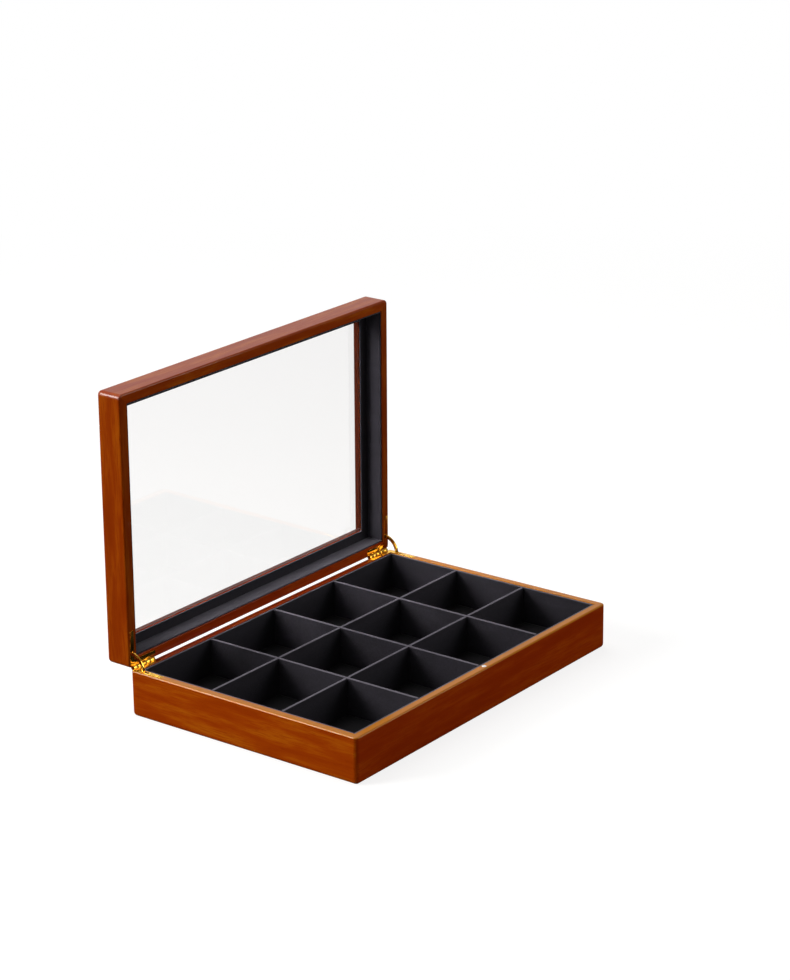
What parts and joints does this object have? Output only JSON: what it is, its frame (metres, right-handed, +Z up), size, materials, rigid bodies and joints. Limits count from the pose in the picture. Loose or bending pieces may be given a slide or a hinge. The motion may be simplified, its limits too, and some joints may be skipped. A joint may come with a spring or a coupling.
{
  "type": "ring display box",
  "caption": "Shallow wooden display case with lined compartments and a glazed lid that stands open on corner stay hinges.",
  "frame": {"origin": "centre of the underside, on the felt", "axes": "+Z up, +X along the hinge side, -Y towards the front of the case"},
  "size_m": [0.32, 0.2373, 0.2518],
  "materials": {
    "stained_wood": "red-brown stained ash-like wood under satin lacquer",
    "panel_board": "plain plywood",
    "base_felt": "pressed felt",
    "lining_microfibre": "charcoal microfibre over board",
    "window_glass": "clear polished glass",
    "hinge_brass": "polished yellow brass plate",
    "magnet_nickel": "nickel plated"
  },
  "bodies": {
    "base": {"base_front_rail": "stained_wood", "base_back_rail": "stained_wood", "base_left_rail": "stained_wood", "base_right_rail": "stained_wood", "base_panel": "panel_board", "base_felt": "base_felt", "floor_pad": "lining_microfibre", "base_liner_front": "lining_microfibre", "base_liner_back": "lining_microfibre", "base_liner_left": "lining_microfibre", "base_liner_right": "lining_microfibre", "long_divider_front": "lining_microfibre", "long_divider_rear": "lining_microfibre", "cross_divider_left": "lining_microfibre", "cross_divider_middle": "lining_microfibre", "cross_divider_right": "lining_microfibre", "base_magnet": "magnet_nickel", "left_base_leaf": "hinge_brass", "right_base_leaf": "hinge_brass", "left_hinge_pin": "hinge_brass", "right_hinge_pin": "hinge_brass", "base_hinge_screws": "hinge_brass"},
    "lid": {"lid_front_wall": "stained_wood", "lid_back_wall": "stained_wood", "lid_left_wall": "stained_wood", "lid_right_wall": "stained_wood", "top_frame_front": "stained_wood", "top_frame_back": "stained_wood", "top_frame_left": "stained_wood", "top_frame_right": "stained_wood", "lid_glass": "window_glass", "glass_strip_front": "lining_microfibre", "glass_strip_back": "lining_microfibre", "glass_strip_left": "lining_microfibre", "glass_strip_right": "lining_microfibre", "lid_liner_front": "lining_microfibre", "lid_liner_back": "lining_microfibre", "lid_liner_left": "lining_microfibre", "lid_liner_right": "lining_microfibre", "lid_magnet": "magnet_nickel", "left_lid_leaf": "hinge_brass", "right_lid_leaf": "hinge_brass", "left_stay_rivet": "hinge_brass", "right_stay_rivet": "hinge_brass", "lid_hinge_screws": "hinge_brass"},
    "left_stay": {"left_stay_arm": "hinge_brass"},
    "right_stay": {"right_stay_arm": "hinge_brass"}
  },
  "joints": [
    {"name": "lid_hinge", "type": "hinge", "parent": "base", "child": "lid", "pos_m": [0, 0.1075, 0.03715], "axis": [1, 0, 0], "range_deg": [0, 89.5]},
    {"name": "left_stay_pivot", "type": "hinge", "parent": "lid", "child": "left_stay", "pos_m": [-0.1565, 0.1099, 0.04917], "axis": [1, 0, 0], "range_deg": [-36, 0]},
    {"name": "right_stay_pivot", "type": "hinge", "parent": "lid", "child": "right_stay", "pos_m": [0.1565, 0.1099, 0.04917], "axis": [1, 0, 0], "range_deg": [-36, 0]}
  ],
  "couplings": [
    {"joint": "left_stay_pivot", "follows": "lid_hinge", "ratio": -0.4},
    {"joint": "right_stay_pivot", "follows": "lid_hinge", "ratio": -0.4}
  ]
}
